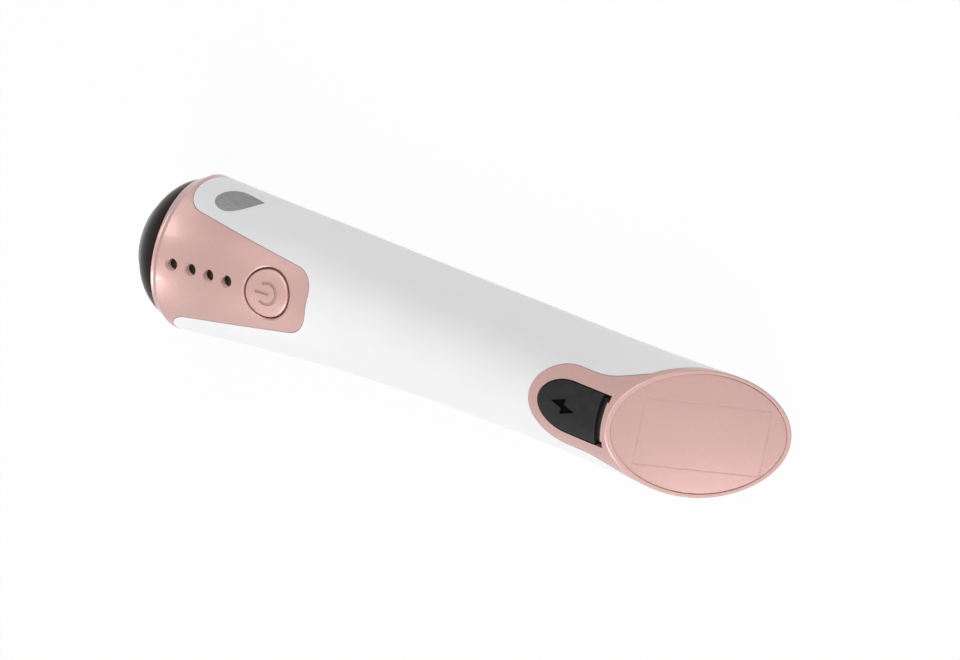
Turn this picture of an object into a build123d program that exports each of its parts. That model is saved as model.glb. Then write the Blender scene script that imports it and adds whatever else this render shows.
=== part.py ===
from build123d import *
import os
from math import cos, sin, radians, tan

# Overall form in mm: X runs from the head joint to the tail, the resting back lies at Z = 0
LENGTH = 171.0
HALF_WIDTHS = (20.5, 19.0, 17.7, 16.7, 16.0, 15.5, 15.1, 15.3, 15.7, 16.1)
AXIS_HEIGHTS = (20.4, 17.4, 14.8, 13.7, 13.6, 14.0, 15.3, 17.2, 19.4, 21.6)
CROWNS = (20.3, 18.5, 17.3, 16.4, 16.7, 17.4, 18.5, 18.0, 17.3, 17.5)
LEANS = (10.6, 6.8, 1.8, 0, 0, 0, 0, 0, 0, 0)
SPANS = 8
WALL = 1.8
REST_FLAT = 0.3
SEAM = 0.1
FIT = 0.08

# Head: the collar's front edge, the domed bezel and the treatment face
JOINT_RADIUS = 18.5
FLARE_DEPTH = 3.4
FLARE_BOW = 0.45
BEZEL_RADIUS = 18.2
DOME_HEIGHT = 10.4
DOME_EQUATOR = 18.8
BEZEL_WALL = 1.6
BEZEL_FLOOR = 1.2
SPIGOT_RADIUS = 15.6
SPIGOT_WALL = 1.5
SPIGOT_DEPTH = 4.0
GASKET_THICKNESS = 0.4
RING_OUTER = 10.6
RING_INNER = 8.0
RING_PROUD = 0.3
RING_DEPTH = 3.2
RING_LIP = 0.8
WINDOW_DEPTH = 2.4
LED_BOARD_RADIUS = 13.4
LED_BOARD_TOP = -1.0
LED_RINGS = ((1, 0.0), (6, 3.6), (10, 6.4))
LED_SIZE = 2.0
LED_HEIGHT = 0.8

# Control panel: outline of the collar's tongue, indicator row and button
PANEL_FRONT = 4.9
PANEL_FRONT_HALF = 14.7
PANEL_END = 47.9
PANEL_END_HALF = 7.6
PANEL_SHOULDER_FILLET = 8.0
PANEL_END_FILLET = 6.0
INDICATORS = 4
INDICATOR_START = 9.65
INDICATOR_PITCH = 5.25
INDICATOR_RADIUS = 1.55
INDICATOR_SUNK = 2.3
INDICATOR_LIFT = 0.9
BUTTON_X = 36.8
BUTTON_RADIUS = 6.0
BUTTON_GAP = 0.35
BUTTON_TRAVEL = 0.6
BUTTON_DEPTH = 3.7
BUTTON_ROUND = 0.5
FLANGE_WIDTH = 0.9
FLANGE_THICKNESS = 0.8

# Side electrode: outline seen from the side, point to the tail, and the pins behind it
DROP_TIP = (22.6, 21.8)
DROP_TOP = ((21.4, 25.0), (18.9, 28.3), (14.8, 29.7))
DROP_FRONT = ((12.1, 28.3), (12.3, 24.9))
DROP_BASE = ((15.0, 22.0), (18.8, 21.5))
PIN_ROW = ((14.8, 25.8), (18.6, 25.2))
PIN_RADIUS = 1.2
PIN_LENGTH = 3.0

# Inner sleeves that join the housings
SLEEVE_WALL = 1.2
SLEEVE_START = 4.0
SLEEVE_END = 30.0
TAIL_SLEEVE = 10.0

# Tail: slanted end, rim, inset plate and port tongue
TAIL_SLANT = 40.0
RIM_BAND = 1.8
RIM_WIDTH = 0.9
RIM_ROUND = 0.3
PLATE_SUNK = 0.25
PLATE_THICKNESS = 0.9
PLATE_GAP = 0.12
BULKHEAD = 1.4
TONGUE_START = 117.8
TONGUE_NOSE = 11.0
TONGUE_HALF = 9.4
TONGUE_FLARE_X = 137.0
TONGUE_FLARE_FILLET = 20.0

# Charging port and its rubber flap
PORT_START = 120.5
PORT_END = 140.4
PORT_NOSE = 9.0
PORT_HALF = 6.3
FLAP_GAP = 0.3
NAIL_SLOT = 1.5
EAR_LENGTH = 0.5
EAR_WIDTH = 1.6
FLAP_THICKNESS = 1.9
FLAP_ROUND = 0.3
RECESS_DEPTH = 2.3
PORT_FLOOR = 1.4
PORT_RIM = 1.6
BOSS_LENGTH = 1.3
BOSS_WIDTH = 6.2
BOSS_DEPTH = 1.4
ANCHOR_RADIUS = 1.2
ANCHOR_OFFSET = 4.0
ANCHOR_GAP = 0.3
ANCHOR_FOOT = 0.8
SOCKET_X = 131.0
SOCKET_WIDTH = 7.6
SOCKET_SPAN = 2.9
SOCKET_HEIGHT = 5.4
SOCKET_WALL = 0.3
SOCKET_GAP = 0.3
CONTACT_WIDTH = 3.7
CONTACT_THICKNESS = 0.6
CONTACT_SUNK = 1.6

# Inner works
BOARD_THICKNESS = 1.2
BOARD_DROP = 9.2
BOARD_FRONT = 29.4
BOARD_REAR = 10.0
BOARD_WIDTH = 15.0
SWITCH_SIZE = 6.0
SWITCH_HEIGHT = 3.4
PLUNGER_RADIUS = 1.6
PLUNGER_SUNK = 0.8
CHIP_SIZE = 1.6
CHIP_HEIGHT = 0.6
CHARGE_LENGTH = 20.0
CHARGE_WIDTH = 14.0
CHASSIS_START = 13.0
CHASSIS_END = 146.0
CHASSIS_INSET = 3.4
CHASSIS_WALL = 1.3
CHASSIS_TOP = 11.0
BATTERY_RADIUS = 7.1
BATTERY_LENGTH = 50.0
BATTERY_X = 60.0
TAB_THICKNESS = 0.4
SADDLES = 3
SADDLE_WIDTH = 2.0
SADDLE_FLOOR = 0.5
POST_RADIUS = 2.2
POST_OFFSET = 6.6
SCREW_RADIUS = 0.8
SCREW_DEPTH = 4.0
SCREW_HEAD_RADIUS = 1.6
SCREW_HEAD = 1.0
LEAD_RADIUS = 0.6
LEAD_SPACING = 2.4
LEAD_SHARE = 0.45
MAIN_ROUTE = ((45, 0, 21.8), (64, 1, 22.4), (83, -1, 22.2), (102, 1, 23), (121.3, 0, 24.7))
HEAD_ROUTE = ((4.5, 0, 23.5), (8, 0, 24.8), (10, 0, 27.9))

SPAN_FAR = 60.0
TONGUE_BOTTOM = 18.0


def section(index, inset):
    """One cross section of the body: two half ellipses on a leaning plane."""
    lean = radians(LEANS[index])
    centre = (LENGTH * index / SPANS, 0, AXIS_HEIGHTS[index])
    half = HALF_WIDTHS[index] - inset
    crown = CROWNS[index] - inset
    base = AXIS_HEIGHTS[index] / cos(lean) - inset
    upper = EllipticalCenterArc((0, 0), half, crown, 0, arc_size=180)
    lower = EllipticalCenterArc((0, 0), half, base, 180, arc_size=180)
    plane = Plane(centre, x_dir=(0, 1, 0), z_dir=(cos(lean), 0, -sin(lean)))
    return plane * make_face(Curve() + [upper, lower])


def body_form(inset):
    """The whole outer form, drawn in evenly by an inset."""
    return loft([section(index, inset) for index in range(len(HALF_WIDTHS))])


def crown_plane(form, x):
    """Plane on the top line of the form, its normal square to the surface."""
    point, normal = max(form.find_intersection_points(Axis((x, 0, 0), (0, 0, 1))), key=lambda hit: hit[0].Z)
    return Plane(point, x_dir=(normal.Z, 0, -normal.X), z_dir=normal)


def head_plane():
    """Plane of the head joint, its normal out of the treatment face."""
    lean = radians(LEANS[0])
    return Plane((0, 0, AXIS_HEIGHTS[0]), x_dir=(0, -1, 0), z_dir=(-cos(lean), 0, sin(lean)))


def tail_plane(depth=0.0):
    """Plane of the slanted end, moved inwards by a depth."""
    slant = radians(TAIL_SLANT)
    return Plane((LENGTH, 0, 0), x_dir=(0, 1, 0), z_dir=(cos(slant), 0, sin(slant))).offset(-depth)


def deeper(shape, depth):
    """What lies further in than a depth under the slanted end."""
    return split(shape, bisect_by=tail_plane(depth), keep=Keep.BOTTOM)


def shallower(shape, depth):
    """What lies nearer to the slanted end than a depth."""
    return split(shape, bisect_by=tail_plane(depth), keep=Keep.TOP)


def between_x(shape, start, end):
    """What lies between two places along X."""
    kept = split(shape, bisect_by=Plane.YZ.offset(start), keep=Keep.TOP)
    return split(kept, bisect_by=Plane.YZ.offset(end), keep=Keep.BOTTOM)


def resting(shape):
    """A housing with its back cut level, so that it lies on a narrow flat."""
    return split(shape, bisect_by=Plane.XY.offset(REST_FLAT), keep=Keep.TOP)


def disc(radius, bottom, top):
    """A plain cylinder about Z between two heights."""
    return Pos(0, 0, bottom) * extrude(Circle(radius), top - bottom)


def washer(outer, inner, bottom, top):
    """A plain ring about Z between two heights."""
    return Pos(0, 0, bottom) * extrude(Circle(outer) - Circle(inner), top - bottom)


def block(length, width, bottom, top):
    """A plain box centred on Z between two heights."""
    return Pos(0, 0, bottom) * extrude(Rectangle(length, width), top - bottom)


def turned(*points):
    """Solid of revolution about Z from corner points given as radius and height."""
    outline = Polyline(*[(radius, 0, height) for radius, height in points], close=True)
    return revolve(make_face(outline), Axis.Z)


def dome_rise():
    """Height of the dome's ellipsoid over its own equator, and how far that equator is sunk."""
    cut = (1 - (BEZEL_RADIUS / DOME_EQUATOR) ** 2) ** 0.5
    rise = DOME_HEIGHT / (1 - cut)
    return rise, rise * cut


def dome(inset=0.0):
    """Cap of an ellipsoid standing on Z = 0, drawn in by an inset."""
    rise, sunk = dome_rise()
    wide, high = DOME_EQUATOR - inset, rise - inset
    arc = Plane.XZ * EllipticalCenterArc((0, 0), wide, high, 0, arc_size=90)
    closing = Polyline((0, 0, high), (0, 0, 0), (wide, 0, 0))
    whole = revolve(make_face(Curve() + [arc, closing]), Axis.Z)
    return split(Pos(0, 0, -sunk) * whole, bisect_by=Plane.XY, keep=Keep.TOP)


def prism(outline, bottom=-SPAN_FAR):
    """An outline in plan, run up from a height through the top of the body."""
    return Pos(0, 0, bottom) * extrude(outline, SPAN_FAR - bottom)


def panel_outline(grow=0.0):
    """Head region in plan: the full ring, narrowing to the panel tongue."""
    front = PANEL_FRONT + grow
    end = PANEL_END + grow
    neck = PANEL_FRONT_HALF + grow
    tip = PANEL_END_HALF + grow
    right = [(-SPAN_FAR, -SPAN_FAR), (front, -SPAN_FAR), (front, -neck), (end, -tip)]
    left = [(x, -y) for x, y in reversed(right)]
    shape = make_face(Polyline(*right, *left, close=True))
    necks = [v for v in shape.vertices() if abs(v.X - front) < FIT and abs(v.Y) < SPAN_FAR / 2]
    shape = fillet(necks, PANEL_SHOULDER_FILLET)
    tips = [v for v in shape.vertices() if abs(v.X - end) < FIT]
    return fillet(tips, PANEL_END_FILLET)


def nosed_outline(start, nose, half, end, grow=0.0):
    """Strip along X in plan with an elliptical nose towards the head."""
    centre = start + nose
    arc = EllipticalCenterArc((centre, 0), nose + grow, half + grow, 90, arc_size=180)
    sides = Polyline((centre, -half - grow), (end, -half - grow), (end, half + grow), (centre, half + grow))
    return make_face(Curve() + [arc, sides])


def tongue_outline(grow=0.0):
    """Tail region in plan: the port tongue, flaring out to the sides of the slanted end."""
    strip = nosed_outline(TONGUE_START, TONGUE_NOSE, TONGUE_HALF, TONGUE_FLARE_X, grow)
    near = (TONGUE_FLARE_X, TONGUE_HALF + grow)
    side = (LENGTH - AXIS_HEIGHTS[SPANS] * tan(radians(TAIL_SLANT)), HALF_WIDTHS[SPANS] + grow)
    right = [near, side, (LENGTH, side[1])]
    left = [(x, -y) for x, y in reversed(right)]
    shape = strip + make_face(Polyline(*right, *left, close=True))
    corners = [v for v in shape.vertices() if abs(v.X - near[0]) < FIT]
    return fillet(corners, TONGUE_FLARE_FILLET)


def port_outline(grow=0.0, short=0.0):
    """D shape of the charging port in plan."""
    return nosed_outline(PORT_START, PORT_NOSE, PORT_HALF, PORT_END + grow - short, grow)


def port_ears():
    """Two small notches at the corners of the port's straight end."""
    across = PORT_HALF - EAR_WIDTH / 2
    ear = Rectangle(2 * EAR_LENGTH, EAR_WIDTH)
    return Pos(PORT_END, -across) * ear + Pos(PORT_END, across) * ear


def drop_outline(grow=0.0):
    """Teardrop seen from the side, its points moved out from their middle."""
    points = [Vector(*point) for point in (DROP_TIP, *DROP_TOP, *DROP_FRONT, *DROP_BASE)]
    middle = sum(points, Vector()) / len(points)
    grown = [point + (point - middle).normalized() * grow for point in points]
    return make_face(Spline(*grown, grown[0]))


def sideways(outline):
    """An outline seen from the side, run out through the wall on the +Y side."""
    return extrude(Plane.XZ * outline, -SPAN_FAR)


def rim_edges(shape, place, radius):
    """Edges at the outer surface that run round a place's axis at a radius."""
    found = []
    for edge in shape.edges():
        spot = place.to_local_coords(edge @ 0.25)
        around = abs((spot.X ** 2 + spot.Y ** 2) ** 0.5 - radius) < FIT
        if around and spot.Z > FIT - WALL and edge.length > radius:
            found.append(edge)
    return found


class Body:
    """The shared forms that every piece is cut from, each made once."""

    outer = body_form(0)
    cavity = body_form(WALL)
    sleeve_out = body_form(WALL + FIT)
    sleeve_in = body_form(WALL + FIT + SLEEVE_WALL)
    recess_floor = body_form(RECESS_DEPTH)
    flap_under = body_form(FLAP_THICKNESS)
    skin = outer - cavity
    head = head_plane()
    button = crown_plane(outer, BUTTON_X)
    port = crown_plane(outer, SOCKET_X)
    anchor = crown_plane(outer, PORT_START + ANCHOR_OFFSET)


def flare_cutter():
    """Ring outside the head's flare, from the joint edge out to the shoulder."""
    middle = (JOINT_RADIUS + (HALF_WIDTHS[0] - JOINT_RADIUS) * FLARE_BOW, -FLARE_DEPTH / 2)
    edge = (HALF_WIDTHS[0] + 0.4, -FLARE_DEPTH * 1.3)
    bow = Plane.XZ * ThreePointArc((JOINT_RADIUS, 0), middle, edge)
    far = JOINT_RADIUS + PANEL_SHOULDER_FILLET
    corners = [edge, (far, edge[1]), (far, FLARE_DEPTH), (JOINT_RADIUS, FLARE_DEPTH), (JOINT_RADIUS, 0)]
    back = Polyline(*[(radius, 0, height) for radius, height in corners])
    return Body.head * revolve(make_face(Curve() + [bow, back]), Axis.Z)


def indicator_places():
    """Planes level with the button's, on the axis of each indicator of the row."""
    slope = Body.button.z_dir.Z
    steps = [INDICATOR_START + INDICATOR_PITCH * i - BUTTON_X for i in range(INDICATORS)]
    return [Body.button * Pos(step / slope, 0, 0) for step in steps]


def pin_places():
    """Planes on the outside of the sleeve, behind the electrode."""
    places = []
    for x, z in PIN_ROW:
        hits = Body.sleeve_out.find_intersection_points(Axis((x, 0, z), (0, 1, 0)))
        point, normal = max(hits, key=lambda hit: hit[0].Y)
        places.append(Plane(point, z_dir=normal))
    return places


def head_collar():
    """Rose head housing: full ring, flare, front and back tongues and inner sleeve."""
    region = prism(panel_outline())
    shell = (Body.skin & region) - flare_cutter()
    front = Body.head * washer(HALF_WIDTHS[0] + 1, SPIGOT_RADIUS + FIT, -SPIGOT_DEPTH, 0)
    shell = shell + ((front & Body.outer & region) - flare_cutter())
    sleeve = between_x(Body.sleeve_out - Body.sleeve_in, SLEEVE_START, SLEEVE_END)
    web = between_x(body_form(WALL / 2) - body_form(WALL + 2 * FIT), SLEEVE_START, SLEEVE_END)
    shell = shell + sleeve + (web & prism(panel_outline(-SEAM)))
    shell -= Body.button * disc(BUTTON_RADIUS + BUTTON_GAP, -BUTTON_DEPTH, 1)
    for place in indicator_places():
        shell -= place * disc(INDICATOR_RADIUS + FIT, -BOARD_DROP, BOARD_DROP)
    for place in pin_places():
        shell -= place * disc(PIN_RADIUS + FIT, -2 * SLEEVE_WALL, SLEEVE_WALL)
    shell = fillet(rim_edges(shell, Body.button, BUTTON_RADIUS + BUTTON_GAP), BUTTON_ROUND)
    return resting(shell)


def handle_shell():
    """White housing with its two side tongues, open for collar, tail cap and electrode."""
    shell = deeper(Body.skin, RIM_BAND + SEAM) - prism(panel_outline(SEAM))
    shell -= prism(tongue_outline(SEAM), TONGUE_BOTTOM)
    return resting(shell - sideways(drop_outline(FIT)))


def port_cut(outline, floor):
    """Everything above a floor form inside an outline of the port."""
    return prism(outline, TONGUE_BOTTOM) - floor


def tail_cap():
    """Rose end housing: rim with plate seat, port tongue with recess, inner sleeve."""
    trimmed = deeper(Body.outer, 0)
    end = [edge for edge in trimmed.edges() if abs(tail_plane().to_local_coords(edge @ 0.3).Z) < FIT]
    trimmed = fillet(end, RIM_ROUND)
    cap = shallower(trimmed, RIM_BAND) - shallower(body_form(RIM_WIDTH), PLATE_SUNK + PLATE_THICKNESS)
    joint = (PLATE_SUNK + PLATE_THICKNESS + RIM_BAND) / 2
    plug = shallower(deeper(Body.sleeve_out, joint), RIM_BAND + BULKHEAD)
    ring = shallower(deeper(Body.sleeve_out - Body.sleeve_in, joint), TAIL_SLEEVE)
    tongue = deeper(Body.skin, joint) & prism(tongue_outline(), TONGUE_BOTTOM)
    web = shallower(deeper(body_form(WALL / 2) - body_form(WALL + 2 * FIT), joint), TAIL_SLEEVE)
    web = web & prism(tongue_outline(-SEAM), TONGUE_BOTTOM)
    pocket = deeper(Body.outer - body_form(RECESS_DEPTH + PORT_FLOOR), joint)
    pocket = pocket & prism(port_outline(PORT_RIM), TONGUE_BOTTOM)
    cap = cap + plug + ring + tongue + web + pocket
    cap -= port_cut(port_outline() + port_ears(), Body.recess_floor)
    hole = block(SOCKET_SPAN + 2 * SOCKET_GAP, SOCKET_WIDTH + 2 * SOCKET_GAP, -BOARD_DROP, 0)
    cap -= Body.port * hole
    cap -= Body.anchor * disc(ANCHOR_RADIUS + FIT, -BOARD_DROP, 0)
    return resting(cap)


def tail_plate():
    """Pale oval plate set into the rim of the slanted end."""
    plate = shallower(deeper(body_form(RIM_WIDTH + PLATE_GAP), PLATE_SUNK), PLATE_SUNK + PLATE_THICKNESS)
    return plate


def port_flap():
    """Rubber flap that follows the surface, with its plug boss underneath."""
    outline = port_outline(-FLAP_GAP, NAIL_SLOT)
    flap = (Body.outer - Body.flap_under) & prism(outline, TONGUE_BOTTOM)
    flap = fillet(flap.faces().sort_by(Axis.Z)[-1].edges(), FLAP_ROUND)
    boss = block(BOSS_LENGTH, BOSS_WIDTH, -FLAP_THICKNESS - BOSS_DEPTH, -FLAP_THICKNESS / 2)
    return flap + Body.port * boss


def flap_anchor():
    """Root of the flap's strap, held in the port floor."""
    under = -RECESS_DEPTH - PORT_FLOOR - ANCHOR_GAP
    foot = disc(2 * ANCHOR_RADIUS, under - ANCHOR_FOOT, under)
    return Body.anchor * (foot + disc(ANCHOR_RADIUS, under - ANCHOR_FOOT, -RECESS_DEPTH + FIT))


def usb_socket_shell():
    """Steel shell of the charging socket, open at the top."""
    top = -RECESS_DEPTH - SOCKET_GAP
    outer = block(SOCKET_SPAN, SOCKET_WIDTH, top - SOCKET_HEIGHT, top)
    inner = block(SOCKET_SPAN - 2 * SOCKET_WALL, SOCKET_WIDTH - 2 * SOCKET_WALL, top - SOCKET_HEIGHT, top)
    return Body.port * (outer - inner)


def usb_socket_tongue():
    """Contact tongue and base inside the charging socket."""
    top = -RECESS_DEPTH - SOCKET_GAP
    bottom = top - SOCKET_HEIGHT
    gap = SOCKET_WALL + FIT
    base = block(SOCKET_SPAN - 2 * gap, SOCKET_WIDTH - 2 * gap, bottom, bottom + 1)
    return Body.port * (base + block(CONTACT_THICKNESS, CONTACT_WIDTH, bottom, top - CONTACT_SUNK))


def charge_board():
    """Board under the charging socket."""
    top = -RECESS_DEPTH - SOCKET_GAP - SOCKET_HEIGHT
    return Body.port * block(CHARGE_LENGTH, CHARGE_WIDTH, top - BOARD_THICKNESS, top)


def side_electrode():
    """Teardrop hand contact, set flush in the side of the housing."""
    return Body.skin & sideways(drop_outline())


def contact_pins():
    """Spring pins that carry the electrode's contact through the sleeve."""
    return Compound(children=[place * disc(PIN_RADIUS, -PIN_LENGTH, 0) for place in pin_places()])


def head_bezel():
    """Black domed bezel with its opening for the treatment face and a spigot behind."""
    lift = GASKET_THICKNESS
    hollow = dome(BEZEL_WALL) - disc(BEZEL_RADIUS, 0, BEZEL_FLOOR)
    shell = Pos(0, 0, lift) * (dome() - hollow)
    shell += washer(SPIGOT_RADIUS, SPIGOT_RADIUS - SPIGOT_WALL, -SPIGOT_DEPTH, lift + BEZEL_FLOOR)
    shell -= disc(SPIGOT_RADIUS - SPIGOT_WALL, -SPIGOT_DEPTH, lift + BEZEL_FLOOR)
    return Body.head * (shell - disc(RING_OUTER + FIT, 0, 2 * DOME_HEIGHT))


def head_gasket():
    """Flat seal between the bezel and the collar's front edge."""
    gap = FIT / 2
    return Body.head * washer(BEZEL_RADIUS - 2 * FIT, SPIGOT_RADIUS + FIT, gap, GASKET_THICKNESS - gap)


def face_top(radius):
    """Height of the dome over the joint plane at a radius."""
    rise, sunk = dome_rise()
    return GASKET_THICKNESS + rise * (1 - (radius / DOME_EQUATOR) ** 2) ** 0.5 - sunk


def treatment_ring():
    """Polished electrode ring that follows the dome, with a lip behind the bezel."""
    bottom = face_top(RING_OUTER) - RING_DEPTH
    top = Pos(0, 0, GASKET_THICKNESS) * dome(-RING_PROUD)
    ring = top & washer(RING_OUTER, RING_INNER, bottom, 2 * DOME_HEIGHT)
    lip = washer(RING_OUTER + RING_LIP, RING_INNER, bottom, bottom + RING_LIP)
    return Body.head * (ring + lip)


def treatment_window():
    """Clear window that closes the dome inside the electrode ring."""
    edge, middle = RING_INNER - FIT, RING_INNER / 2
    bottom = face_top(edge) - WINDOW_DEPTH
    bow = ThreePointArc((0, 0, face_top(0)), (middle, 0, face_top(middle)), (edge, 0, face_top(edge)))
    rest = Polyline((edge, 0, face_top(edge)), (edge, 0, bottom), (0, 0, bottom), (0, 0, face_top(0)))
    return Body.head * revolve(make_face(Curve() + [bow, rest]), Axis.Z)


def light_reflector():
    """Funnel that leads the light from the board up to the window."""
    foot = LED_BOARD_TOP + FIT
    rim = face_top(RING_INNER - FIT) - WINDOW_DEPTH - FIT
    neck = face_top(RING_OUTER) - RING_DEPTH - FIT
    mouth = RING_INNER - 2 * FIT
    base = LED_BOARD_RADIUS
    wall = RING_LIP
    outer = [(base, foot), (base, foot + wall), (mouth, neck), (mouth, rim)]
    base -= 2 * wall
    inner = [(mouth - wall, rim), (mouth - wall, neck), (base, foot + wall), (base, foot)]
    return Body.head * turned(*outer, *inner)


def led_board():
    """Round board of the light source inside the spigot."""
    return Body.head * disc(LED_BOARD_RADIUS, LED_BOARD_TOP - BOARD_THICKNESS, LED_BOARD_TOP)


def treatment_leds():
    """Rings of light chips on the round board."""
    chip = block(LED_SIZE, LED_SIZE, LED_BOARD_TOP, LED_BOARD_TOP + LED_HEIGHT)
    chips = []
    for count, radius in LED_RINGS:
        chips += [Rot(0, 0, 360 / count * i) * Pos(radius, 0, 0) * chip for i in range(count)]
    return Body.head * Compound(children=chips)


def power_button():
    """Button cap that follows the panel, with its retaining flange and stem."""
    cap = Body.button * disc(BUTTON_RADIUS, -BUTTON_DEPTH - FLANGE_THICKNESS, BUTTON_DEPTH)
    cap = cap & Body.outer
    cap = fillet(rim_edges(cap, Body.button, BUTTON_RADIUS), BUTTON_ROUND)
    low = -BUTTON_DEPTH - FLANGE_THICKNESS
    return cap + Body.button * disc(BUTTON_RADIUS + FLANGE_WIDTH, low, -BUTTON_DEPTH)


def switch_plunger():
    """Plunger of the tact switch, resting under the button."""
    top = -BUTTON_DEPTH - FLANGE_THICKNESS - FIT / 2
    bottom = -BOARD_DROP + SWITCH_HEIGHT - PLUNGER_SUNK
    return Body.button * disc(PLUNGER_RADIUS, bottom, top)


def switch_body():
    """Tact switch on the control board, bored for its plunger."""
    top = -BOARD_DROP + SWITCH_HEIGHT
    bore = disc(PLUNGER_RADIUS + FIT, top - PLUNGER_SUNK - 2 * BUTTON_TRAVEL, top)
    return Body.button * (block(SWITCH_SIZE, SWITCH_SIZE, -BOARD_DROP, top) - bore)


def indicator_lenses():
    """Four smoked light pipes that stand over the indicator chips, sunk in the panel."""
    pipes = []
    for place in indicator_places():
        axis = Axis(place.position, Body.button.z_dir)
        hits = Body.outer.find_intersection_points(axis)
        top = max((hit[0] - axis.position).dot(axis.direction) for hit in hits)
        pipes.append(place * disc(INDICATOR_RADIUS, -BOARD_DROP + INDICATOR_LIFT, top - INDICATOR_SUNK))
    return Compound(children=pipes)


def indicator_leds():
    """Chips under the light pipes."""
    chip = block(CHIP_SIZE, CHIP_SIZE, -BOARD_DROP, -BOARD_DROP + CHIP_HEIGHT)
    return Compound(children=[place * chip for place in indicator_places()])


def control_posts():
    """Places of the two posts under the control board, one each side of the switch."""
    return (-POST_OFFSET, POST_OFFSET)


def control_board():
    """Long board under the panel, screwed to two posts."""
    board = block(BOARD_FRONT + BOARD_REAR, BOARD_WIDTH, -BOARD_DROP - BOARD_THICKNESS, -BOARD_DROP)
    return Body.button * Pos((BOARD_REAR - BOARD_FRONT) / 2, 0, 0) * board


def battery_place():
    """Axis of the battery, lying low on its saddles."""
    height = CHASSIS_INSET + CHASSIS_WALL + SADDLE_FLOOR + FIT + BATTERY_RADIUS
    return Plane((BATTERY_X, 0, height), x_dir=(0, 1, 0), z_dir=(1, 0, 0))


def battery_cell():
    """Cylindrical cell with its small positive cap."""
    nub = disc(BATTERY_RADIUS / 3, 0, BATTERY_LENGTH + TAB_THICKNESS)
    return battery_place() * (disc(BATTERY_RADIUS, 0, BATTERY_LENGTH) + nub)


def battery_tabs():
    """Contact strips at both ends of the cell."""
    tab = block(BATTERY_RADIUS, BATTERY_RADIUS, 0, TAB_THICKNESS)
    front = Pos(0, 0, -TAB_THICKNESS - FIT) * tab
    rear = Pos(0, 0, BATTERY_LENGTH + TAB_THICKNESS + FIT) * tab
    return battery_place() * Compound(children=[front, rear])


def post_places():
    """Planes at the underside of the boards, on the axis of each post."""
    socket_top = -RECESS_DEPTH - SOCKET_GAP - SOCKET_HEIGHT
    control = [Body.button * Pos(x, 0, -BOARD_DROP) for x in control_posts()]
    charge = [Body.port * Pos(x * (CHARGE_LENGTH / 2 - POST_RADIUS), 0, socket_top) for x in (-1, 1)]
    return control + charge


def chassis():
    """Inner trough that carries the cell on saddles and the boards on posts."""
    trough = between_x(body_form(CHASSIS_INSET), CHASSIS_START, CHASSIS_END)
    hollow = body_form(CHASSIS_INSET + CHASSIS_WALL)
    frame = trough - hollow
    pitch = (BATTERY_LENGTH - 2 * SADDLE_WIDTH) / (SADDLES - 1)
    cell = battery_place() * disc(BATTERY_RADIUS + FIT, -SADDLE_WIDTH, BATTERY_LENGTH + SADDLE_WIDTH)
    for i in range(SADDLES):
        start = BATTERY_X + SADDLE_WIDTH / 2 + pitch * i
        frame += between_x(trough, start, start + SADDLE_WIDTH)
    frame = split(frame, bisect_by=Plane.XY.offset(CHASSIS_TOP), keep=Keep.BOTTOM) - cell
    for place in post_places():
        post = place * disc(POST_RADIUS, -SPAN_FAR / 2, -BOARD_THICKNESS)
        frame += post & trough
    for place in post_places():
        frame -= place * disc(SCREW_RADIUS + FIT, -BOARD_THICKNESS - SCREW_DEPTH, SCREW_DEPTH)
    return frame


def board_screws():
    """Screws that hold both boards on their posts."""
    screw = disc(SCREW_RADIUS, -BOARD_THICKNESS - SCREW_DEPTH + FIT, FIT)
    screw += disc(SCREW_HEAD_RADIUS, FIT / 2, SCREW_HEAD)
    return Compound(children=[place * screw for place in post_places()])


def pierced(board):
    """A board with its screw holes."""
    for place in post_places():
        board -= place * disc(SCREW_RADIUS + FIT, -SCREW_DEPTH, SCREW_DEPTH)
    return board


def lead(points):
    """Round lead through hand-set points, with arcs as large as its runs allow."""
    corners = [Vector(*point) for point in points]
    runs = [(b - a).length for a, b in zip(corners, corners[1:])]
    radii = []
    for i in range(1, len(corners) - 1):
        turn = (corners[i] - corners[i - 1]).get_angle(corners[i + 1] - corners[i])
        radii.append(LEAD_SHARE * min(runs[i - 1], runs[i]) / tan(radians(turn / 2)))
    print("lead radii", [round(radius, 1) for radius in radii])
    path = FilletPolyline(*points, radius=radii)
    start = Plane(path @ 0, z_dir=path % 0)
    return sweep(start * Circle(LEAD_RADIUS), path)


def shifted(points, offset):
    """The same route moved sideways."""
    return [(x, y + offset, z) for x, y, z in points]


def main_leads():
    """Pair of leads from the control board over the cell to the charge board."""
    return Compound(children=[lead(shifted(MAIN_ROUTE, side * LEAD_SPACING / 2)) for side in (-1, 1)])


def head_leads():
    """Pair of leads from the light board to the control board."""
    return Compound(children=[lead(shifted(HEAD_ROUTE, side * LEAD_SPACING / 2)) for side in (-1, 1)])


PIECES = {
    "handle_shell": handle_shell,
    "head_collar": head_collar,
    "tail_cap": tail_cap,
    "tail_plate": tail_plate,
    "head_bezel": head_bezel,
    "head_gasket": head_gasket,
    "treatment_ring": treatment_ring,
    "treatment_window": treatment_window,
    "light_reflector": light_reflector,
    "led_board": led_board,
    "treatment_leds": treatment_leds,
    "side_electrode_left": side_electrode,
    "contact_pins": contact_pins,
    "power_button": power_button,
    "switch_plunger": switch_plunger,
    "switch_body": switch_body,
    "indicator_lenses": indicator_lenses,
    "indicator_leds": indicator_leds,
    "control_board": lambda: pierced(control_board()),
    "port_flap": port_flap,
    "flap_anchor": flap_anchor,
    "usb_socket_shell": usb_socket_shell,
    "usb_socket_tongue": usb_socket_tongue,
    "charge_board": lambda: pierced(charge_board()),
    "battery_cell": battery_cell,
    "battery_tabs": battery_tabs,
    "chassis": chassis,
    "board_screws": board_screws,
    "main_leads": main_leads,
    "head_leads": head_leads,
}


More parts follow.
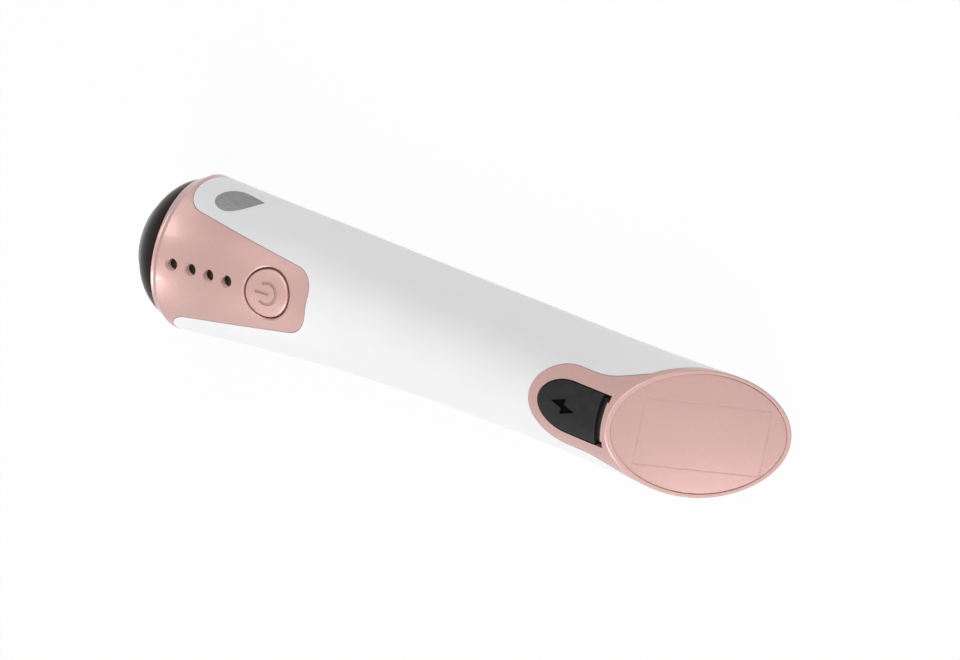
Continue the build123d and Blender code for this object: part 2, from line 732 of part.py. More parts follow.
def build():
    """Make every piece, centre the whole on its resting back and write the files."""
    os.makedirs("parts", exist_ok=True)
    shapes = {name: make() for name, make in PIECES.items()}
    boxes = [shape.bounding_box() for shape in shapes.values()]
    middle = (min(box.min.X for box in boxes) + max(box.max.X for box in boxes)) / 2
    shift = Pos(-middle, 0, -min(box.min.Z for box in boxes))
    for name, shape in shapes.items():
        export_step(shift * shape, f"parts/{name}.step")
    print("shift", shift.position)
    print("button axis", Body.button.origin + shift.position, Body.button.z_dir)
    hinge = crown_plane(Body.outer, PORT_START + FLAP_GAP).origin + shift.position
    print("flap hinge", hinge)


build()
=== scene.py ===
import bpy
from math import atan2, cos, radians, sin
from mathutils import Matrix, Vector


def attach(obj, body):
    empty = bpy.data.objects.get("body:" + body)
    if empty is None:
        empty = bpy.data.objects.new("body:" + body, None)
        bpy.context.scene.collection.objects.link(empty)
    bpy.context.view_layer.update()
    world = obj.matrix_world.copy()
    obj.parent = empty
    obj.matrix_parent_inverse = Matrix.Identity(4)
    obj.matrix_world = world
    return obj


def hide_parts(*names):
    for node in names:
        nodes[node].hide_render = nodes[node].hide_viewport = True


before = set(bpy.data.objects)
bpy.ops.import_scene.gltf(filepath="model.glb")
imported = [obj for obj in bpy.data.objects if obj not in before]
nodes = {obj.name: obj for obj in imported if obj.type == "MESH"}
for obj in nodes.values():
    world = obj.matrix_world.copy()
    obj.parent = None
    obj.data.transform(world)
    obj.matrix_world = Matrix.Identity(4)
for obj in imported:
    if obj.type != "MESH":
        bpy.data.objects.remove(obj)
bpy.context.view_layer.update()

scene = bpy.context.scene
scene.view_settings.view_transform = "Standard"
print("frame loaded:", len(nodes), "nodes")


# camera, at the photograph's viewing angle
cameraSet = {
    "place": (0.47474, 0.21579, 0.68991),  # metres
    "turn": (-7.05, 36.555, 12.668),  # degrees
    "lens": 131.67,  # millimetres
    "sensor": 36,
    "clip": (0.05, 20),
}


def addCamera():
    data = bpy.data.cameras.new("camera")
    data.lens = cameraSet["lens"]
    data.sensor_width = cameraSet["sensor"]
    data.clip_start, data.clip_end = cameraSet["clip"]
    camera = bpy.data.objects.new("camera", data)
    camera.location = cameraSet["place"]
    camera.rotation_euler = [radians(angle) for angle in cameraSet["turn"]]
    scene.collection.objects.link(camera)
    scene.camera = camera


addCamera()
print("camera placed")


# floor, world and soft lamps
studioSet = {
    "floorColor": (0.66, 0.66, 0.665, 1),
    "floorRoughness": 0.9,
    "floorSpecular": 0.1,
    "floorSize": 6,
    "seenWhite": 0.97,  # share of plain white that the camera sees on the floor
    "worldColor": (1, 1, 1, 1),
    "worldFill": 0.1,
    "aim": (0, 0, 0.02),
    "lamps": {
        # name: (place, size, watts)
        "key": ((0.2, -0.8, 0.8), 0.6, 9.5),
        "back": ((0.1, 0.6, 0.9), 0.6, 3.7),
        "rear": ((0, 1.0, 0.3), 0.8, 2.4),
        "edge": ((0.38, 0.66, 0.68), 0.15, 1.0),
        "front": ((0.62, -0.05, 0.9), 0.15, 0.8),
        "tail": ((0.95, -0.55, 0.25), 0.25, 2.0),
    },
}


def setInputs(node, values):
    for name, value in values.items():
        node.inputs[name].default_value = value


def mathNode(tree, operation, first, second):
    # each input is a socket to link or a plain number
    node = tree.nodes.new("ShaderNodeMath")
    node.operation = operation
    for place, value in enumerate((first, second)):
        if isinstance(value, (int, float)):
            node.inputs[place].default_value = value
        else:
            tree.links.new(value, node.inputs[place])
    return node.outputs[0]


def whiteSeen(tree, shader, output, kind, share=1.0):
    # the camera, mirrors and glass see plain white, the object keeps its own light
    path = tree.nodes.new("ShaderNodeLightPath").outputs
    seen = mathNode(tree, "MAXIMUM", path["Is Camera Ray"], path["Is Glossy Ray"])
    seen = mathNode(tree, "MAXIMUM", seen, path["Is Transmission Ray"])
    part = mathNode(tree, "MULTIPLY", seen, share)
    white = tree.nodes.new(kind)
    setInputs(white, {"Color": (1, 1, 1, 1), "Strength": 1})
    mix = tree.nodes.new("ShaderNodeMixShader")
    tree.links.new(part, mix.inputs[0])
    tree.links.new(shader.outputs[0], mix.inputs[1])
    tree.links.new(white.outputs[0], mix.inputs[2])
    tree.links.new(mix.outputs[0], output.inputs["Surface"])


def addWorld():
    world = bpy.data.worlds.new("studio")
    world.use_nodes = True
    tree = world.node_tree
    tree.nodes.clear()
    output = tree.nodes.new("ShaderNodeOutputWorld")
    fill = tree.nodes.new("ShaderNodeBackground")
    setInputs(fill, {"Color": studioSet["worldColor"], "Strength": studioSet["worldFill"]})
    whiteSeen(tree, fill, output, "ShaderNodeBackground")
    scene.world = world


def addLamps():
    for name, (place, size, watts) in studioSet["lamps"].items():
        data = bpy.data.lights.new(name + "Lamp", "AREA")
        data.size = size
        data.energy = watts
        lamp = bpy.data.objects.new(name + "Lamp", data)
        lamp.location = place
        towards = Vector(studioSet["aim"]) - Vector(place)
        lamp.rotation_euler = towards.to_track_quat("-Z", "Y").to_euler()
        scene.collection.objects.link(lamp)


def newMaterial(name):
    material = bpy.data.materials.new(name)
    material.use_nodes = True
    tree = material.node_tree
    return material, tree, tree.nodes["Principled BSDF"]


def floorPaper():
    material, tree, shader = newMaterial("floorPaper")
    setInputs(shader, {
        "Base Color": studioSet["floorColor"],
        "Roughness": studioSet["floorRoughness"],
        "Specular IOR Level": studioSet["floorSpecular"],
    })
    output = tree.nodes["Material Output"]
    whiteSeen(tree, shader, output, "ShaderNodeEmission", studioSet["seenWhite"])
    return material


def addFloor():
    bpy.ops.object.select_all(action="DESELECT")
    bpy.ops.mesh.primitive_plane_add(size=studioSet["floorSize"], location=(0, 0, 0))
    floor = bpy.context.object
    floor.name = "floor"
    floor.data.materials.append(floorPaper())


addWorld()
addLamps()
addFloor()
print("studio lit")


# finishes, each from a noise on the piece's own coordinates
def grey(value):
    return (value, value, value, 1)


def noiseOn(tree, scale, detail=4.0, stretch=(1, 1, 1)):
    coords = tree.nodes.new("ShaderNodeTexCoord")
    mapping = tree.nodes.new("ShaderNodeMapping")
    mapping.inputs["Scale"].default_value = stretch
    noise = tree.nodes.new("ShaderNodeTexNoise")
    setInputs(noise, {"Scale": scale, "Detail": detail})
    tree.links.new(coords.outputs["Object"], mapping.inputs["Vector"])
    tree.links.new(mapping.outputs["Vector"], noise.inputs["Vector"])
    return noise.outputs["Fac"]


def spread(tree, noise, low, high, socket):
    # most of the noise lies between these two places
    ramp = tree.nodes.new("ShaderNodeValToRGB")
    first, last = ramp.color_ramp.elements
    first.position, last.position = 0.3, 0.7
    first.color, last.color = low, high
    tree.links.new(noise, ramp.inputs["Fac"])
    tree.links.new(ramp.outputs["Color"], socket)


def bumpFrom(tree, source, shader, strength, distance, under=None):
    bump = tree.nodes.new("ShaderNodeBump")
    setInputs(bump, {"Strength": strength, "Distance": distance})
    tree.links.new(source, bump.inputs["Height"])
    if under:
        tree.links.new(under.outputs["Normal"], bump.inputs["Normal"])
    tree.links.new(bump.outputs["Normal"], shader.inputs["Normal"])
    return bump


pearlSet = {
    "low": (0.825, 0.825, 0.83, 1),
    "high": (0.86, 0.86, 0.865, 1),
    "cloud": 60,
    "roughness": (0.31, 0.37),
    "grain": 9000,
    "bump": (0.05, 0.00002),  # strength, metres
    "shine": {"Specular IOR Level": 0.4, "Coat Weight": 0.1, "Coat Roughness": 0.15},
}


def pearlWhite():
    material, tree, shader = newMaterial("pearlWhite")
    cloud = noiseOn(tree, pearlSet["cloud"])
    spread(tree, cloud, pearlSet["low"], pearlSet["high"], shader.inputs["Base Color"])
    spread(tree, cloud, *map(grey, pearlSet["roughness"]), shader.inputs["Roughness"])
    bumpFrom(tree, noiseOn(tree, pearlSet["grain"], 2), shader, *pearlSet["bump"])
    setInputs(shader, pearlSet["shine"])
    return material


roseSet = {
    "low": (0.46, 0.262, 0.236, 1),
    "high": (0.648, 0.408, 0.378, 1),
    "flake": 14000,
    "bump": (0.12, 0.00003),  # strength, metres
    "cloud": 300,
    "roughness": (0.34, 0.42),
    "shine": {"Metallic": 0.35, "Coat Weight": 0.6, "Coat Roughness": 0.06},
    "buttonLift": 1.04,  # how much paler the button is
}


def roseBase(name, lift=1.0):
    material, tree, shader = newMaterial(name)
    flake = noiseOn(tree, roseSet["flake"], 2)
    low, high = ([value * lift for value in roseSet[end][:3]] + [1] for end in ("low", "high"))
    spread(tree, flake, low, high, shader.inputs["Base Color"])
    setInputs(shader, roseSet["shine"])
    return material, tree, shader, flake


def roseSatin(name="roseSatin", lift=1.0):
    material, tree, shader, flake = roseBase(name, lift)
    cloud = noiseOn(tree, roseSet["cloud"])
    spread(tree, cloud, *map(grey, roseSet["roughness"]), shader.inputs["Roughness"])
    bumpFrom(tree, flake, shader, *roseSet["bump"])
    return material


plateSet = {
    "middle": (0.0769, 0, 0.0165),  # metres
    "curve": 0.45,  # radius of its slight dome
    "roughness": 0.26,
    "bump": (0.25, 0.00003),  # strength, metres
}


def rosePlate():
    # the square of the way from the plate's middle gives it a slight dome
    material, tree, shader, flake = roseBase("rosePlate")
    coords = tree.nodes.new("ShaderNodeTexCoord")
    away = tree.nodes.new("ShaderNodeVectorMath")
    away.operation = "SUBTRACT"
    away.inputs[1].default_value = plateSet["middle"]
    square = tree.nodes.new("ShaderNodeVectorMath")
    square.operation = "DOT_PRODUCT"
    tree.links.new(coords.outputs["Object"], away.inputs[0])
    tree.links.new(away.outputs["Vector"], square.inputs[0])
    tree.links.new(away.outputs["Vector"], square.inputs[1])
    dome = mathNode(tree, "MULTIPLY", square.outputs["Value"], -0.5 / plateSet["curve"])
    broad = bumpFrom(tree, dome, shader, 1, 1)
    bumpFrom(tree, flake, shader, *plateSet["bump"], broad)
    shader.inputs["Roughness"].default_value = plateSet["roughness"]
    return material


bezelSet = {
    "low": (0.016, 0.010, 0.009, 1),
    "high": (0.024, 0.016, 0.015, 1),
    "cloud": 80,
    "roughness": (0.2, 0.28),
    "specular": 0.06,
}


def glossBlack():
    material, tree, shader = newMaterial("glossBlack")
    cloud = noiseOn(tree, bezelSet["cloud"])
    spread(tree, cloud, bezelSet["low"], bezelSet["high"], shader.inputs["Base Color"])
    spread(tree, cloud, *map(grey, bezelSet["roughness"]), shader.inputs["Roughness"])
    shader.inputs["Specular IOR Level"].default_value = bezelSet["specular"]
    return material


rubberSet = {
    "greys": (0.011, 0.019),
    "cloud": 400,
    "grain": 6000,
    "bump": (0.25, 0.00003),  # strength, metres
    "shine": {"Roughness": 0.62, "Specular IOR Level": 0.2},
}


def blackRubber():
    material, tree, shader = newMaterial("blackRubber")
    cloud = noiseOn(tree, rubberSet["cloud"])
    spread(tree, cloud, *map(grey, rubberSet["greys"]), shader.inputs["Base Color"])
    bumpFrom(tree, noiseOn(tree, rubberSet["grain"], 3), shader, *rubberSet["bump"])
    setInputs(shader, rubberSet["shine"])
    return material


handSet = {
    "low": (0.20, 0.20, 0.205, 1),
    "high": (0.29, 0.29, 0.295, 1),
    "brush": 2500,
    "stretch": (0.06, 1, 1),
    "bump": (0.06, 0.00002),  # strength, metres
    "shine": {"Roughness": 0.42, "Metallic": 0.6},
}


def satinSteel():
    material, tree, shader = newMaterial("satinSteel")
    brush = noiseOn(tree, handSet["brush"], 3, handSet["stretch"])
    spread(tree, brush, handSet["low"], handSet["high"], shader.inputs["Base Color"])
    bumpFrom(tree, brush, shader, *handSet["bump"])
    setInputs(shader, handSet["shine"])
    return material


ringSet = {
    "greys": (0.22, 0.36),
    "turned": 1200,
    "stretch": (6, 1, 1),
    "roughness": (0.1, 0.2),
}


def mirrorRing():
    material, tree, shader = newMaterial("mirrorRing")
    turned = noiseOn(tree, ringSet["turned"], 3, ringSet["stretch"])
    spread(tree, turned, *map(grey, ringSet["greys"]), shader.inputs["Base Color"])
    spread(tree, turned, *map(grey, ringSet["roughness"]), shader.inputs["Roughness"])
    shader.inputs["Metallic"].default_value = 1
    return material


windowSet = {
    "ripple": 500,
    "bump": (0.04, 0.00005),  # strength, metres
    "shine": {
        "Base Color": (0.86, 0.88, 0.89, 1),
        "Roughness": 0.04,
        "Specular IOR Level": 0.8,
        "Alpha": 0.22,
    },
}


def clearWindow():
    material, tree, shader = newMaterial("clearWindow")
    bumpFrom(tree, noiseOn(tree, windowSet["ripple"], 1), shader, *windowSet["bump"])
    setInputs(shader, windowSet["shine"])
    return material


mouldedSet = {
    "cloud": 350,
    "grain": 7000,
    "bump": (0.15, 0.00002),  # strength, metres
    "finishes": {
        # name: (low colour, high colour, roughness)
        "solderMask": ((0.01, 0.10, 0.045, 1), (0.015, 0.14, 0.06, 1), 0.3),
        "clearResin": ((0.75, 0.72, 0.6, 1), (0.85, 0.82, 0.7, 1), 0.2),
        "whiteReflector": (grey(0.7), grey(0.8), 0.2),
        "blackMoulding": (grey(0.015), grey(0.028), 0.45),
        "leadJacket": ((0.35, 0.02, 0.02, 1), (0.45, 0.03, 0.03, 1), 0.35),
        "redPlunger": ((0.3, 0.02, 0.015, 1), (0.4, 0.03, 0.02, 1), 0.45),
        "smokedLens": ((0.006, 0.005, 0.005, 1), (0.012, 0.01, 0.01, 1), 0.12),
        "cellWrap": ((0.02, 0.08, 0.3, 1), (0.03, 0.11, 0.38, 1), 0.25),
        "chassisPlastic": (grey(0.5), grey(0.6), 0.45),
    },
}


def mouldedPlastic(name, low, high, roughness, specular=0.5):
    material, tree, shader = newMaterial(name)
    spread(tree, noiseOn(tree, mouldedSet["cloud"]), low, high, shader.inputs["Base Color"])
    bumpFrom(tree, noiseOn(tree, mouldedSet["grain"], 2), shader, *mouldedSet["bump"])
    setInputs(shader, {"Roughness": roughness, "Specular IOR Level": specular})
    return material


platedSet = {
    "cloud": 900,
    "shine": {"Roughness": 0.28, "Metallic": 1},
    "finishes": {
        # name: (low colour, high colour)
        "giltContact": ((0.72, 0.52, 0.18, 1), (0.83, 0.62, 0.25, 1)),
        "platedSteel": (grey(0.5), grey(0.62)),
    },
}


def platedMetal(name, low, high):
    material, tree, shader = newMaterial(name)
    spread(tree, noiseOn(tree, platedSet["cloud"]), low, high, shader.inputs["Base Color"])
    setInputs(shader, platedSet["shine"])
    return material


wornBy = {
    # finish: the nodes that have it
    "pearlWhite": ["handle_shell"],
    "roseSatin": ["head_collar", "tail_cap"],
    "roseButton": ["power_button"],
    "rosePlate": ["tail_plate"],
    "glossBlack": ["head_bezel"],
    "blackRubber": ["head_gasket", "port_flap", "flap_anchor"],
    "satinSteel": ["side_electrode_left"],
    "mirrorRing": ["treatment_ring"],
    "clearWindow": ["treatment_window"],
    "solderMask": ["led_board", "control_board", "charge_board"],
    "clearResin": ["treatment_leds", "indicator_leds"],
    "whiteReflector": ["light_reflector"],
    "blackMoulding": ["switch_body", "usb_socket_tongue"],
    "leadJacket": ["main_leads", "head_leads"],
    "redPlunger": ["switch_plunger"],
    "smokedLens": ["indicator_lenses"],
    "cellWrap": ["battery_cell"],
    "chassisPlastic": ["chassis"],
    "giltContact": ["contact_pins", "battery_tabs"],
    "platedSteel": ["usb_socket_shell", "board_screws"],
}


def makeFinishes():
    made = [pearlWhite(), roseSatin(), roseSatin("roseButton", roseSet["buttonLift"]), rosePlate(),
            glossBlack(), blackRubber(), satinSteel(), mirrorRing(), clearWindow()]
    made += [mouldedPlastic(name, *look) for name, look in mouldedSet["finishes"].items()]
    made += [platedMetal(name, *look) for name, look in platedSet["finishes"].items()]
    return {material.name: material for material in made}


finishes = makeFinishes()
for finish, wearers in wornBy.items():
    for wearer in wearers:
        for place in nodes[wearer].material_slots:
            place.material = finishes[finish]
print("finishes assigned")


# pieces with finer detail than the frame's own
sharpAngle = radians(30)  # edges past this stay sharp
mergeWithin = 0.000001


def pickOnly(piece):
    bpy.ops.object.select_all(action="DESELECT")
    piece.select_set(True)
    bpy.context.view_layer.objects.active = piece


def copyOf(piece, name):
    # with a mesh of its own
    copy = bpy.data.objects.new(name, piece.data.copy())
    scene.collection.objects.link(copy)
    return copy


def mergedCopy(node, name):
    # a node's loose triangles, merged so that they can be cut
    piece = copyOf(nodes[node], name)
    pickOnly(piece)
    bpy.ops.object.mode_set(mode="EDIT")
    bpy.ops.mesh.select_all(action="SELECT")
    bpy.ops.mesh.remove_doubles(threshold=mergeWithin)
    bpy.ops.object.mode_set(mode="OBJECT")
    bpy.ops.mesh.customdata_custom_splitnormals_clear()
    return piece


def newPiece(name):
    # names the primitive that was just added
    piece = bpy.context.object
    piece.name = name
    pickOnly(piece)
    return piece


def putInPlace(piece, place, lean=0.0):
    # leaned about Y, then its place goes into its mesh
    pickOnly(piece)
    piece.location = place
    piece.rotation_euler = (0, radians(lean), 0)
    bpy.ops.object.transform_apply(location=True, rotation=True, scale=True)


def wrapOnto(piece, target, lift=0.0):
    # dropped straight down onto the target
    pickOnly(piece)
    wrap = piece.modifiers.new("wrap", "SHRINKWRAP")
    wrap.target = target
    wrap.wrap_method = "PROJECT"
    wrap.use_project_z = True
    wrap.use_negative_direction = True
    wrap.use_positive_direction = False
    wrap.offset = lift
    bpy.ops.object.modifier_apply(modifier="wrap")


def thicken(piece, thickness, offset=0.0):
    pickOnly(piece)
    solid = piece.modifiers.new("wall", "SOLIDIFY")
    solid.thickness = thickness
    solid.offset = offset
    bpy.ops.object.modifier_apply(modifier="wall")


def shadeBySharpness(piece):
    pickOnly(piece)
    bpy.ops.object.shade_smooth_by_angle(angle=sharpAngle)


def dress(piece, material):
    piece.data.materials.clear()
    piece.data.materials.append(material)


def engrave(piece, cutter, floor):
    # the cut faces take the cutter's own finish, a darker one: painted shade in the cut
    dress(cutter, floor)
    pickOnly(piece)
    cut = piece.modifiers.new("cut", "BOOLEAN")
    cut.operation = "DIFFERENCE"
    cut.solver = "EXACT"
    cut.material_mode = "TRANSFER"
    cut.object = cutter
    bpy.ops.object.modifier_apply(modifier="cut")
    bpy.data.objects.remove(cutter)
    shadeBySharpness(piece)


def pickPoints(piece, wanted):
    # called in edit mode, leaves the wanted points picked there
    bpy.ops.mesh.select_all(action="DESELECT")
    bpy.ops.object.mode_set(mode="OBJECT")
    for point in piece.data.vertices:
        point.select = wanted(point.co)
    bpy.ops.object.mode_set(mode="EDIT")
    bpy.ops.mesh.select_mode(type="VERT")


def sliceAlong(count, half):
    # cuts along X that let a flat shape follow a round one
    for step in range(1, count + 1):
        bpy.ops.mesh.select_all(action="SELECT")
        across = half * (2 * step / (count + 1) - 1)
        bpy.ops.mesh.bisect(plane_co=(0, across, 0), plane_no=(0, 1, 0))


def flatShape(name, corners, slices, half):
    bpy.ops.object.select_all(action="DESELECT")
    bpy.ops.mesh.primitive_circle_add(vertices=len(corners), radius=half, fill_type="NGON")
    piece = newPiece(name)
    for point, (x, y) in zip(piece.data.vertices, corners):
        point.co = (x, y, 0)
    bpy.ops.object.mode_set(mode="EDIT")
    sliceAlong(slices, half)
    bpy.ops.mesh.select_all(action="SELECT")
    bpy.ops.mesh.normals_make_consistent(inside=False)
    bpy.ops.object.mode_set(mode="OBJECT")
    return piece


symbolSet = {
    # power symbol on the button: metres, angles in degrees
    "place": (-0.0429779, 0, 0.0330158),
    "above": 0.001,  # starts over the button, before it drops onto it
    "lean": 11.418,
    "radius": 0.00265,
    "points": 144,
    "stroke": 0.00074,
    "rounding": 0.42,  # of the stroke, at its ends
    "roundSteps": 6,
    "opening": 50,  # each side of the bar, towards the head
    "bar": (-0.0032, 0.0007),
    "depth": 0.00017,
    # darker rose on the strokes' floor: painted shade in the engraving
    "floor": ("strokeShade", (0.40, 0.23, 0.21, 1), (0.48, 0.29, 0.27, 1), 0.5),
}


def strokeEnds(piece):
    # a stroke's corners belong to one face only
    uses = {}
    for face in piece.data.polygons:
        for index in face.vertices:
            uses[index] = uses.get(index, 0) + 1
    return [piece.data.vertices[index].co.copy() for index, count in uses.items() if count == 1]


def symbolStrokes():
    radius, stroke = symbolSet["radius"], symbolSet["stroke"]
    bpy.ops.object.select_all(action="DESELECT")
    bpy.ops.mesh.primitive_circle_add(
        vertices=symbolSet["points"], radius=radius + stroke / 2, fill_type="NGON")
    piece = newPiece("symbolStrokes")
    bpy.ops.object.mode_set(mode="EDIT")
    bpy.ops.mesh.select_all(action="SELECT")
    bpy.ops.mesh.inset(thickness=stroke)
    bpy.ops.mesh.delete(type="FACE")
    limit = radians(180 - symbolSet["opening"])
    pickPoints(piece, lambda point: abs(atan2(point.y, point.x)) > limit)
    bpy.ops.mesh.delete(type="VERT")
    first, last = symbolSet["bar"]
    middle = ((first + last) / 2, 0, 0)
    bpy.ops.mesh.primitive_plane_add(size=1, location=middle)
    bpy.ops.transform.resize(value=(last - first, stroke, 1), center_override=middle)
    bpy.ops.object.mode_set(mode="OBJECT")
    ends = strokeEnds(piece)
    bpy.ops.object.mode_set(mode="EDIT")
    pickPoints(piece, lambda point: any((point - end).length < 10 * mergeWithin for end in ends))
    bpy.ops.mesh.bevel(offset=stroke * symbolSet["rounding"], segments=symbolSet["roundSteps"],
                       affect="VERTICES")
    bpy.ops.object.mode_set(mode="OBJECT")
    return piece


def engravedButton():
    button = mergedCopy("power_button", "engravedButton")
    strokes = symbolStrokes()
    x, y, z = symbolSet["place"]
    putInPlace(strokes, (x, y, z + symbolSet["above"]), symbolSet["lean"])
    wrapOnto(strokes, button)
    thicken(strokes, 2 * symbolSet["depth"])
    engrave(button, strokes, mouldedPlastic(*symbolSet["floor"]))
    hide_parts("power_button")
    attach(button, "button")


engravedButton()
print("button engraved")


flapSet = {
    # charging mark on the flap, in metres
    "place": (0.0487, 0, 0.0356),  # over the flap, before it drops onto it
    "mark": [(-0.0038, 0.0004), (0.0006, 0.0020), (0.0004, 0.0005),
             (0.0038, -0.0004), (-0.0006, -0.0020), (-0.0004, -0.0005)],
    "half": 0.0020,
    "depth": 0.00028,
    "slices": 7,
    # near-black, dull floor of the mark: painted shade in the engraving
    "floor": ("markShade", grey(0.001), grey(0.002), 0.8, 0.03),
}


def engravedFlap():
    flap = mergedCopy("port_flap", "engravedFlap")
    mark = flatShape("chargeMark", flapSet["mark"], flapSet["slices"], flapSet["half"])
    putInPlace(mark, flapSet["place"])
    wrapOnto(mark, flap)
    thicken(mark, 2 * flapSet["depth"])
    engrave(flap, mark, mouldedPlastic(*flapSet["floor"]))
    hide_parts("port_flap")
    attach(flap, "flap")


lipSet = {
    # grip lip at the flap's free end, in metres
    "ends": (0.05865, 0.0603),
    "half": 0.0050,
    "corner": 0.0009,
    "cornerSteps": 5,
    "above": 0.034,
    "lift": 0.00045,
    "thickness": 0.0007,
    "edge": 0.00012,
    "edgeSteps": 2,
    "slices": 7,
}


def flapLip():
    first, last = lipSet["ends"]
    half = lipSet["half"]
    bpy.ops.object.select_all(action="DESELECT")
    bpy.ops.mesh.primitive_plane_add(size=1)
    lip = newPiece("flapLip")
    bpy.ops.object.mode_set(mode="EDIT")
    bpy.ops.mesh.select_all(action="SELECT")
    bpy.ops.transform.resize(value=(last - first, 2 * half, 1), center_override=(0, 0, 0))
    pickPoints(lip, lambda point: point.x > 0)
    bpy.ops.mesh.bevel(offset=lipSet["corner"], segments=lipSet["cornerSteps"], affect="VERTICES")
    sliceAlong(lipSet["slices"], half)
    bpy.ops.object.mode_set(mode="OBJECT")
    putInPlace(lip, ((first + last) / 2, 0, lipSet["above"]))
    wrapOnto(lip, nodes["tail_cap"], lipSet["lift"])
    thicken(lip, lipSet["thickness"], 1)
    edges = lip.modifiers.new("edges", "BEVEL")
    edges.width = lipSet["edge"]
    edges.segments = lipSet["edgeSteps"]
    bpy.ops.object.modifier_apply(modifier="edges")
    shadeBySharpness(lip)
    dress(lip, finishes["blackRubber"])
    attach(lip, "flap")


seamShadowSet = {
    # black strip on the recess floor, past the flap's free end, with its two corner ears: painted
    # shadow in the seam, in the flap's black rubber
    "ends": (0.0585, 0.06057, 0.06107),
    "half": 0.0062,
    "ears": 0.00475,
    "above": 0.034,
    "lift": 0.00004,
    "thickness": 0.0003,
    "slices": 9,
}


# a thin black strip that stands in for the shadow in the seam
def flapSeamShadow():
    start, end, tip = seamShadowSet["ends"]
    half, ear = seamShadowSet["half"], seamShadowSet["ears"]
    corners = [(start, -half), (tip, -half), (tip, -ear), (end, -ear),
               (end, ear), (tip, ear), (tip, half), (start, half)]
    shadowStrip = flatShape("flapSeamShadow", corners, seamShadowSet["slices"], half)
    putInPlace(shadowStrip, (0, 0, seamShadowSet["above"]))
    wrapOnto(shadowStrip, nodes["tail_cap"], seamShadowSet["lift"])
    thicken(shadowStrip, seamShadowSet["thickness"], 1)
    shadeBySharpness(shadowStrip)
    dress(shadowStrip, finishes["blackRubber"])
    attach(shadowStrip, "housing")


engravedFlap()
flapLip()
flapSeamShadow()
print("flap marked, lipped and seated")


lineSet = {
    # printed line on the tail plate, in metres along the plate's own plane
    "foot": (0.0912221, 0, -0.0003),
    "slant": 40,  # degrees
    "across": (-0.0089, 0.0072),
    "along": (0.0062, 0.0374),
    "corner": 0.0004,
    "cornerSteps": 4,
    "width": 0.00022,
    "thickness": 0.00003,
    "sunk": 0.00024,
    "ink": ("plateInk", (0.50, 0.31, 0.29, 1), (0.58, 0.38, 0.36, 1), 0.5),
}


def plateLine():
    left, right = lineSet["across"]
    low, high = lineSet["along"]
    middle = (-(low + high) / 2, (left + right) / 2, -lineSet["sunk"])
    bpy.ops.object.select_all(action="DESELECT")
    bpy.ops.mesh.primitive_plane_add(size=1)
    line = newPiece("plateLine")
    bpy.ops.object.mode_set(mode="EDIT")
    bpy.ops.mesh.select_all(action="SELECT")
    bpy.ops.transform.resize(value=(high - low, right - left, 1), center_override=(0, 0, 0))
    bpy.ops.transform.translate(value=middle)
    bpy.ops.mesh.bevel(offset=lineSet["corner"], segments=lineSet["cornerSteps"],
                       affect="VERTICES")
    bpy.ops.mesh.select_mode(type="FACE")
    bpy.ops.mesh.select_all(action="SELECT")
    bpy.ops.mesh.inset(thickness=lineSet["width"])
    bpy.ops.mesh.delete(type="FACE")
    bpy.ops.object.mode_set(mode="OBJECT")
    thicken(line, lineSet["thickness"])
    putInPlace(line, lineSet["foot"], 90 - lineSet["slant"])
    dress(line, mouldedPlastic(*lineSet["ink"]))
    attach(line, "housing")


plateLine()
print("plate lined")


wellSet = {
    # pale sleeves in the indicator holes, in metres: their pale colour is painted light, lifting
    # the shade inside the holes
    "first": (-0.068815, 0, 0.045),  # on the first hole's axis
    "step": (0.00525, 0, -0.00106),
    "count": 4,
    "lean": 11.418,  # degrees, as the button
    "radius": 0.00159,
    "points": 48,
    "wall": 0.00004,
    "depth": 0.0021,
    "beside": 0.0001,  # past the hole, where the panel's height is read
    "under": 0.0001,  # top edge below the panel
    "finish": ("paintedLightSleeve", (0.86, 0.62, 0.59, 1), (0.92, 0.68, 0.65, 1), 0.5),
}


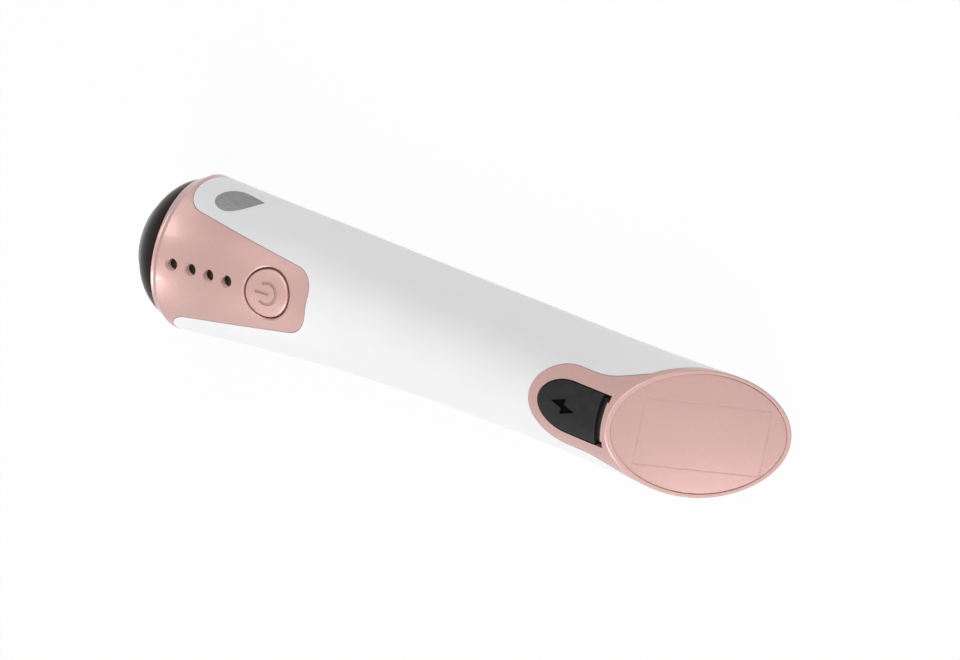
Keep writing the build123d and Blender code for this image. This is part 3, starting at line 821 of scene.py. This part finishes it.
# a pale lining whose colour paints light over the shade in a hole
def paintedLightSleeve():
    bpy.ops.object.select_all(action="DESELECT")
    bpy.ops.mesh.primitive_cylinder_add(vertices=wellSet["points"], radius=wellSet["radius"],
                                        depth=wellSet["depth"], end_fill_type="NOTHING")
    sleeve = newPiece("paintedLightSleeve")
    thicken(sleeve, wellSet["wall"])
    shadeBySharpness(sleeve)
    dress(sleeve, mouldedPlastic(*wellSet["finish"]))
    return sleeve


def indicatorWells():
    sleeve = paintedLightSleeve()
    lean = radians(wellSet["lean"])
    down = Vector((-sin(lean), 0, -cos(lean)))
    side = Vector((0, wellSet["radius"] + wellSet["beside"], 0))
    for index in range(wellSet["count"]):
        start = Vector(wellSet["first"]) + index * Vector(wellSet["step"])
        panel = nodes["head_collar"].ray_cast(start + side, down)[1] - side
        well = copyOf(sleeve, f"indicatorWell{index + 1}")
        putInPlace(well, panel + down * (wellSet["under"] + wellSet["depth"] / 2), wellSet["lean"])
        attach(well, "housing")
    bpy.data.objects.remove(sleeve)


indicatorWells()
print("indicator wells lined")


contactSet = {
    # spring strips on the socket's tongue, in metres
    "count": 5,
    "pitch": 0.00065,
    "size": (0.0001, 0.00034, 0.0022),
    "edge": 0.00003,
    "edgeSteps": 2,
    "middle": (0.05174, 0, 0.0283),
    "lean": -5.43,  # degrees, as the socket
    "off": 0.00033,
}


def contactStrip():
    bpy.ops.object.select_all(action="DESELECT")
    bpy.ops.mesh.primitive_cube_add(size=1)
    strip = newPiece("contactStrip")
    bpy.ops.object.mode_set(mode="EDIT")
    bpy.ops.mesh.select_all(action="SELECT")
    bpy.ops.transform.resize(value=contactSet["size"], center_override=(0, 0, 0))
    bpy.ops.transform.translate(value=(contactSet["off"], 0, 0))
    bpy.ops.mesh.bevel(offset=contactSet["edge"], segments=contactSet["edgeSteps"])
    bpy.ops.object.mode_set(mode="OBJECT")
    dress(strip, finishes["giltContact"])
    return strip


def socketContacts():
    strip = contactStrip()
    x, y, z = contactSet["middle"]
    for index in range(contactSet["count"]):
        across = (index - (contactSet["count"] - 1) / 2) * contactSet["pitch"]
        contact = copyOf(strip, f"socketContact{index + 1}")
        putInPlace(contact, (x, y + across, z), contactSet["lean"])
        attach(contact, "housing")
    bpy.data.objects.remove(strip)


socketContacts()
print("socket contacts placed")
